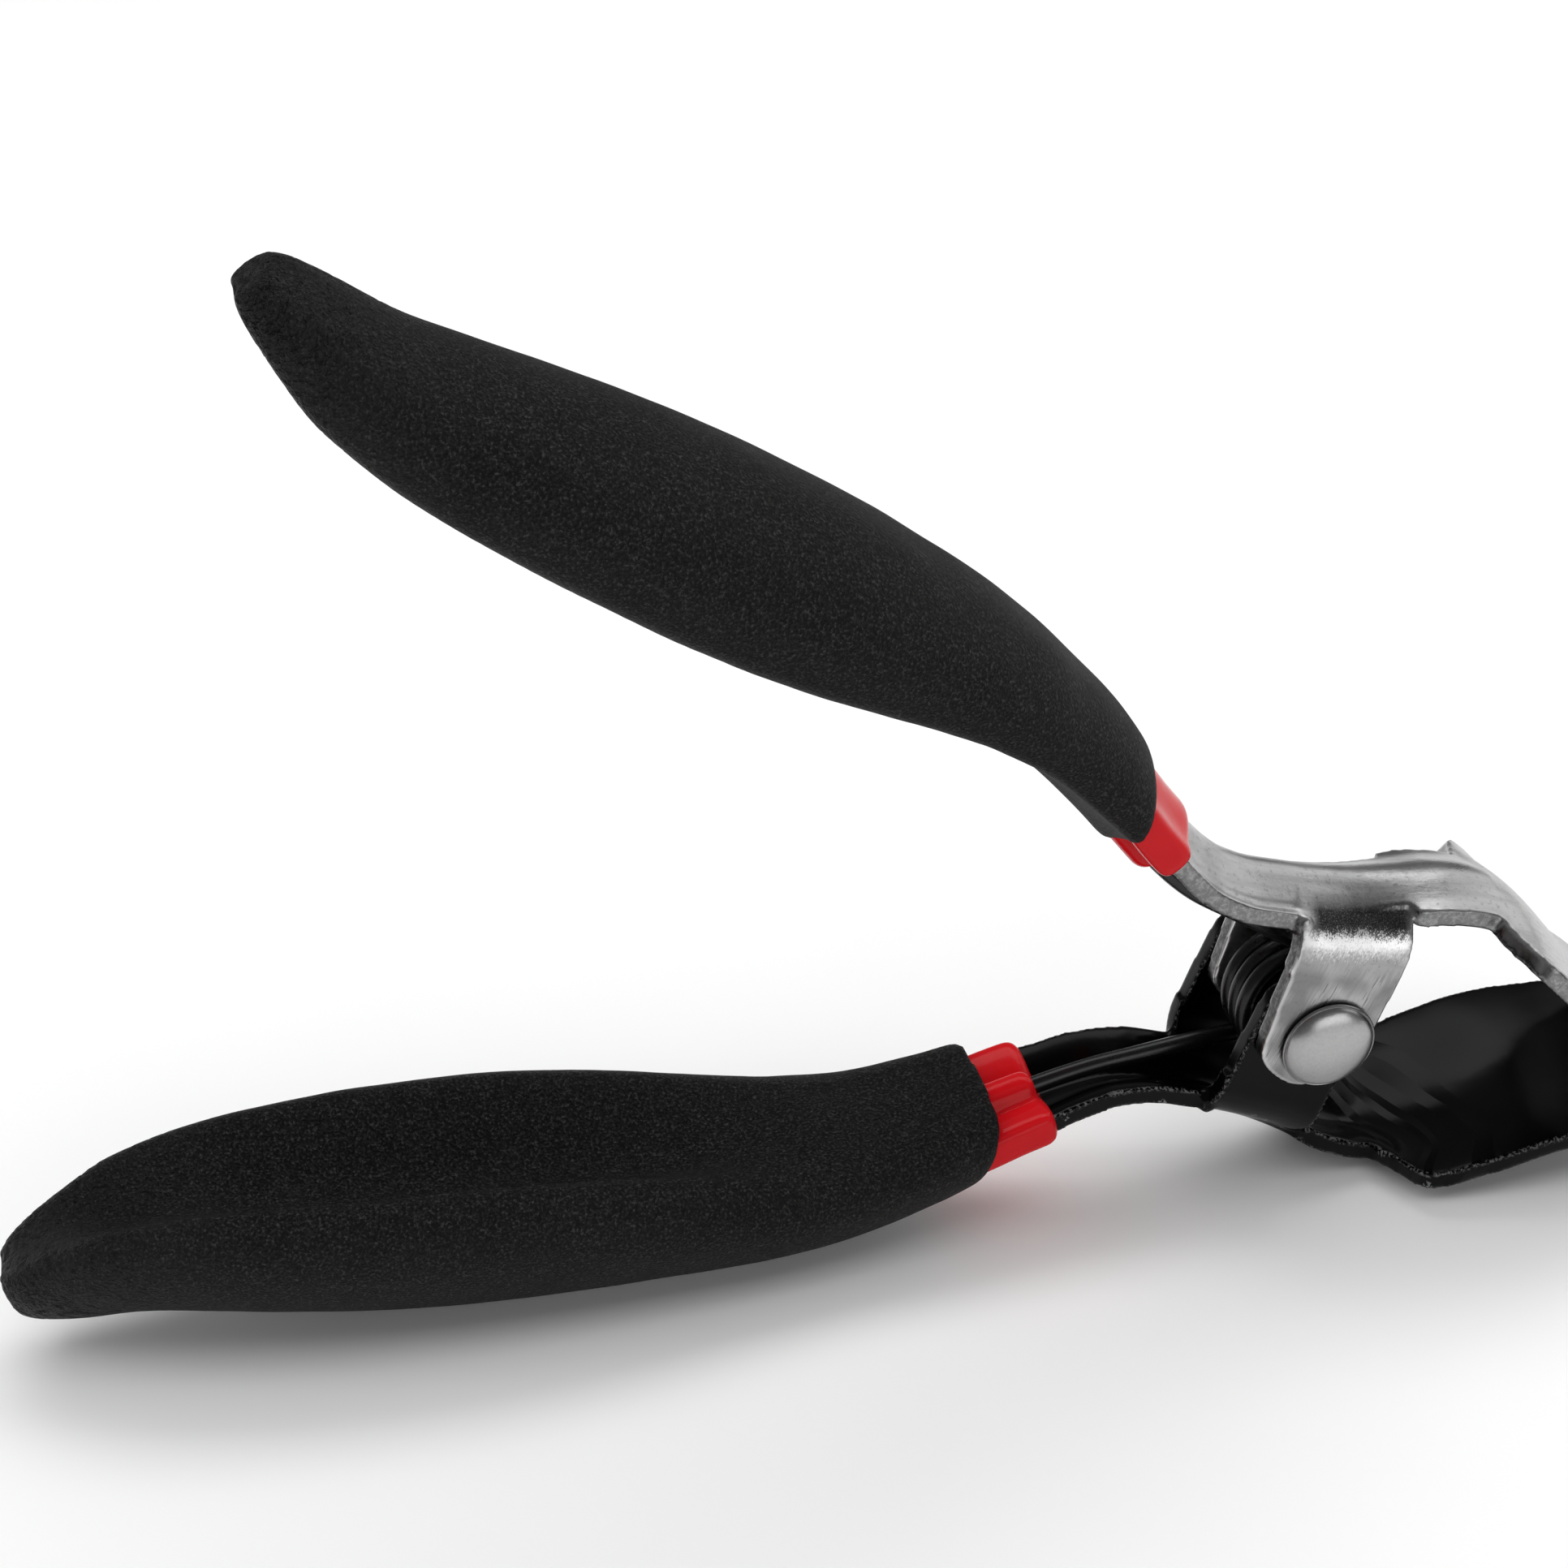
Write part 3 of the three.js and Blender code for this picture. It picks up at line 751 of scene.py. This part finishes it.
def cut_edges(tree, x):
    """Masks of the sheared thickness faces: the strip's sides, and the back edge of each ear."""
    normal = add(tree, "ShaderNodeTexCoord").outputs["Normal"]
    facing = add(tree, "ShaderNodeSeparateXYZ", Vector=normal).outputs
    sideways = band(tree, math_node(tree, "ABSOLUTE", facing["Y"]), 0.66, 1.5, 0.14)
    off_bend = math_node(tree, "SUBTRACT", 1.0, band(tree, x, -8.4, 5.8, 0.4))
    return times(tree, sideways, off_bend), band(tree, facing["X"], -1.5, -0.66, 0.14)


def ears_worn_and_shaded(tree, colour, x, side, z):
    """Paints shade over the ears' outer faces and scratches them, lightening the metal between the
    scratches as wear and a painted glint; gives the colour and the scratches' height.
    """
    face = times(tree, band(tree, side, 8.4, 9.8, 0.6), band(tree, x, *EAR_SPAN, 0.5))
    # painted shade: the ears' outer faces are darkened toward grey 0.16
    colour = tint(tree, colour, times(tree, face, band(tree, z, -20, 12, 7.0)), 0.85, 0.16)
    scratch = grain(tree, coords(tree, (3400, 230, 210), -PITCH - SCRATCH_LEAN), 1.0, 2.0)
    scuffed = times(tree, face, band(tree, z, -8, 10.5, 2.0))
    patchy = fade(tree, grain(tree, coords(tree), 200.0, 1.0), 0.4, 0.6)
    line = times(tree, fade(tree, scratch, 0.52, 0.6), scuffed, patchy)
    colour = tint(tree, colour, line, 0.75, 0.07)
    # a hard edge: lighter except in the lowest lines, as wear and a painted glint
    rubbed_glint = times(tree, fade(tree, scratch, 0.36, 0.3605), scuffed, patchy)
    colour = tint(tree, colour, rubbed_glint, 0.5, 0.6)
    return colour, mix(tree, scuffed, grey(0.5), scratch)


def plated_steel():
    """Plated sheet with drawn lines and pits, worn ears with painted shade and glints, sheared edges,
    painted reflection bands at the bends and painted highlights on the ear rims.
    """
    mat, tree, shader = material("plated_steel", (0.5, 0.5, 0.505), 0.34, metallic=1.0)
    x, y, z = tool_xyz(tree)
    side = math_node(tree, "ABSOLUTE", y)
    drawn = grain(tree, coords(tree, (60, 1100, 1100), -PITCH), 1.0, 4.0)
    cloud = grain(tree, coords(tree), 110.0, 4.0)
    pits = grain(tree, coords(tree), 1500.0, 3.0, 0.7)
    colour = mix(tree, fade(tree, cloud, 0.35, 0.65), grey(0.5), grey(0.62))
    colour = tint(tree, colour, fade(tree, drawn, 0.45, 0.62), 0.35, 0.36)
    colour = tint(tree, colour, fade(tree, pits, 0.56, 0.7), 0.6, 0.25)
    colour, scratches = ears_worn_and_shaded(tree, colour, x, side, z)
    strip_side, ear_back = cut_edges(tree, x)
    pitted = fade(tree, pits, 0.45, 0.75)
    colour = mix(tree, strip_side, colour, mix(tree, pitted, grey(0.18), grey(0.36)))
    colour = mix(tree, ear_back, colour, mix(tree, pitted, grey(0.06), grey(0.22)))
    colour = painted_bend_reflections(tree, colour, x, side, z)
    # painted highlight: the ears' sharp rims are lightened toward grey 0.8
    on_ears = times(tree, band(tree, x, *EAR_SPAN, 0.5), band(tree, z, -9, 12.5, 2.0))
    colour = tint(tree, colour, times(tree, sharp_edges(tree, 0.518, 0.55), on_ears), 0.8, 0.8)
    feed(tree, shader.inputs["Base Color"], colour)
    rough = mix(tree, fade(tree, cloud, 0.3, 0.7), grey(0.27), grey(0.40))
    feed(tree, shader.inputs["Roughness"], rough)
    relief = bump(tree, drawn, 0.00005, 0.5)
    relief = bump(tree, scratches, 0.00006, 0.7, over=relief)
    feed(tree, shader.inputs["Normal"], bump(tree, pits, 0.00005, 0.5, over=relief))
    return mat


def press_creases(tree, x, y, wander):
    """Height of shallow rings pressed into the flare round the ears' root."""
    rings = ((15.5, 16.2, 2.0), (20.2, 20.6, 1.8), (25.0, 26.0, 3.0))    # radii, softness
    along = math_node(tree, "POWER", math_node(tree, "SUBTRACT", x, 2.0), 2.0)
    across = math_node(tree, "POWER", math_node(tree, "ADD", y, 2.0), 2.0)
    reach = math_node(tree, "SQRT", math_node(tree, "ADD", along, across))
    reach = shifted(tree, reach, wander, 6.0)
    height = 0.0
    for inner, outer, soft in rings:
        height = math_node(tree, "ADD", height, band(tree, reach, inner, outer, soft))
    return times(tree, height, band(tree, x, 10.5, 30, 5.0))


def black_paint():
    """Gloss black paint with orange peel, sags, pressed rings, and grey dots along sharp edges that
    are chips and painted highlights both.
    """
    mat, tree, shader = material("black_paint", (0.001, 0.001, 0.0011), 0.24, specular=0.12)
    peel = grain(tree, coords(tree), 420.0, 2.0)
    sag = grain(tree, coords(tree), 75.0, 1.0)
    dots = fade(tree, grain(tree, coords(tree), 2600.0, 2.0), 0.49, 0.58)
    # grey dots along the sharp edges: chips in the paint and a painted highlight
    chips_and_glints = times(tree, dots, sharp_edges(tree, 0.52, 0.56))
    colour = mix(tree, chips_and_glints, (0.001, 0.001, 0.0011), grey(0.16))
    feed(tree, shader.inputs["Base Color"], colour)
    rough = mix(tree, fade(tree, sag, 0.35, 0.7), grey(0.16), grey(0.3))
    feed(tree, shader.inputs["Roughness"], rough)
    x, y, _ = tool_xyz(tree)
    relief = bump(tree, sag, 0.0004, 0.6)
    relief = bump(tree, press_creases(tree, x, y, sag), 0.0007, 0.5, over=relief)
    feed(tree, shader.inputs["Normal"], bump(tree, peel, 0.00003, 0.4, over=relief))
    return mat


def rivet_steel():
    """Bright turned steel with a fine grain."""
    mat, tree, shader = material("rivet_steel", (0.5, 0.5, 0.505), 0.3, metallic=1.0)
    fine = grain(tree, coords(tree), 2600.0, 2.0)
    feed(tree, shader.inputs["Base Color"], mix(tree, fine, grey(0.35), grey(0.47)))
    feed(tree, shader.inputs["Normal"], bump(tree, fine, 0.00003, 0.5))
    return mat


def spring_wire():
    """Semi-gloss black wire."""
    mat, tree, shader = material("spring_wire", (0.005, 0.005, 0.0055), 0.3, specular=0.4)
    fine = grain(tree, coords(tree), 900.0, 3.0)
    feed(tree, shader.inputs["Roughness"], mix(tree, fine, grey(0.2), grey(0.38)))
    feed(tree, shader.inputs["Normal"], bump(tree, fine, 0.00003, 0.4))
    return mat


def red_plastisol():
    """Glossy red dip, slightly translucent and gently uneven."""
    mat, tree, shader = material("red_plastisol", (0.58, 0.007, 0.011), 0.16, specular=0.13)
    shader.inputs["Subsurface Weight"].default_value = 0.15
    shader.inputs["Subsurface Radius"].default_value = (0.002, 0.0004, 0.0003)
    shader.inputs["Subsurface Scale"].default_value = 0.5
    soft = grain(tree, coords(tree), 260.0, 2.0)
    colour = mix(tree, soft, (0.55, 0.006, 0.01), (0.62, 0.009, 0.014))
    feed(tree, shader.inputs["Base Color"], colour)
    feed(tree, shader.inputs["Normal"], bump(tree, soft, 0.0002, 0.25))
    return mat


def cushion_vinyl():
    """Matte stippled black foam vinyl, shinier and finely wrinkled toward the tip, where a painted
    sheen lightens its colour.
    """
    mat, tree, shader = material("cushion_vinyl", (0.008, 0.008, 0.0082), 0.7, specular=0.2)
    stipple = grain(tree, coords(tree), 3000.0, 3.0, 0.65)
    patch = grain(tree, coords(tree), 95.0, 3.0)
    speck = ramp(tree, stipple, [(0.36, 0.0005), (0.47, 0.003), (0.58, 0.014), (0.69, 0.05)])
    x, _, _ = tool_xyz(tree)
    toward_tip = fade(tree, math_node(tree, "MULTIPLY", x, -0.005), 0.60, 0.72)
    tip = times(tree, toward_tip, fade(tree, patch, 0.3, 0.6))
    wrinkle = grain(tree, coords(tree), 1900.0, 2.0)
    ridge = times(tree, tip, fade(tree, wrinkle, 0.4, 0.7))
    # painted sheen: the colour is lightened toward the tips
    feed(tree, shader.inputs["Base Color"], tint(tree, speck, toward_tip, 0.55, 0.018))
    rough = mix(tree, patch, grey(0.5), grey(0.75))
    feed(tree, shader.inputs["Roughness"], tint(tree, rough, tip, 0.8, 0.32))
    fine = bump(tree, stipple, 0.0005, 1.0)
    feed(tree, shader.inputs["Normal"], bump(tree, ridge, 0.0007, 1.0, over=fine))
    return mat


# ---- the tool ----
steel = plated_steel()
paint = black_paint()
bright = rivet_steel()
wire = spring_wire()
red = red_plastisol()
vinyl = cushion_vinyl()

BODY = {"upper": "upper_arm", "lower": "lower_arm"}
for which, metal, slot in (("upper", steel, "plated_steel"), ("lower", paint, "black_paint")):
    stamped = lever(f"{which}_stamping")
    skin = dip(f"{which}_skin", which)
    sleeve = cushion(f"{which}_cushion", which)
    if which == "lower":
        for piece in (stamped, skin, sleeve):
            to_lower(piece)
    place(stamped, metal, BODY[which], f"{which}_lever")
    place(skin, red, BODY[which], f"{which}_handle_dip")
    place(sleeve, vinyl, BODY[which], f"{which}_cushion_grip")

head = rivet()
place(head, bright, "lower_arm", "pivot_rivet")
head.data.set_sharp_from_angle(angle=math.radians(50))

coil = spring()
place(coil, wire, None, "torsion_spring")
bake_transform(coil)

spacer = frame["nodes"]["pivot_sleeve"]
spacer.data.materials.clear()
spacer.data.materials.append(bright)

# ---- floor, light and camera ----
floor = new_object("floor", [(-3, -3, 0), (3, -3, 0), (3, 3, 0), (-3, 3, 0)], [(0, 1, 2, 3)])
floor_mat, floor_tree, floor_shader = material("floor_white", grey(0.86), 0.7, specular=0.2)
mottle = grain(floor_tree, coords(floor_tree), 30.0, 2.0)
pale = mix(floor_tree, mottle, grey(0.93), grey(0.95))
feed(floor_tree, floor_shader.inputs["Base Color"], pale)
floor.data.materials.append(floor_mat)

world = bpy.data.worlds.new("studio")
world.use_nodes = True
backdrop = world.node_tree.nodes["Background"]
backdrop.inputs["Color"].default_value = (1, 1, 1, 1)
backdrop.inputs["Strength"].default_value = 0.13
bpy.context.scene.world = world
bpy.context.scene.view_settings.view_transform = "Standard"


def softbox(name, at, size, power, aim=(0.0, 0.0, 0.05), glossy=True):
    """Rectangular light aimed at the tool, which shows in gloss unless glossy is off."""
    light = bpy.data.lights.new(name, "AREA")
    light.shape = "RECTANGLE"
    light.size, light.size_y = size
    light.energy = power
    obj = bpy.data.objects.new(name, light)
    obj.location = at
    obj.visible_glossy = glossy
    obj.rotation_euler = (Vector(aim) - Vector(at)).to_track_quat("-Z", "Y").to_euler()
    bpy.context.scene.collection.objects.link(obj)


# the glossy ones are placed for the highlights on the crown, the ears and the flare
softbox("fill_box", (0.0, 0.1, 1.4), (2.0, 2.0), 15, glossy=False)
softbox("top_box", (0.14, 0.57, 0.96), (1.1, 0.44), 3.0)
softbox("back_box", (0.25, 1.1, 1.0), (2.4, 1.5), 5, glossy=False)
softbox("right_box", (1.0, 0.25, 0.55), (1.1, 0.9), 2.4)
softbox("front_box", (0.35, -0.95, 0.4), (1.1, 0.6), 3.2)
softbox("left_box", (-0.9, 0.0, 0.7), (0.5, 0.8), 2.6, glossy=False)

# from the domed rivet's side, above the handles, looking down and a little toward the jaws
camera = bpy.data.cameras.new("camera")
camera.lens = 64.39
camera.clip_start = 0.01
view = bpy.data.objects.new("camera", camera)
view.location = (-0.07471, -0.25752, 0.22678)
view.rotation_euler = Vector((0.19966, 0.82907, -0.52228)).to_track_quat("-Z", "Y").to_euler()
bpy.context.scene.collection.objects.link(view)
bpy.context.scene.camera = view
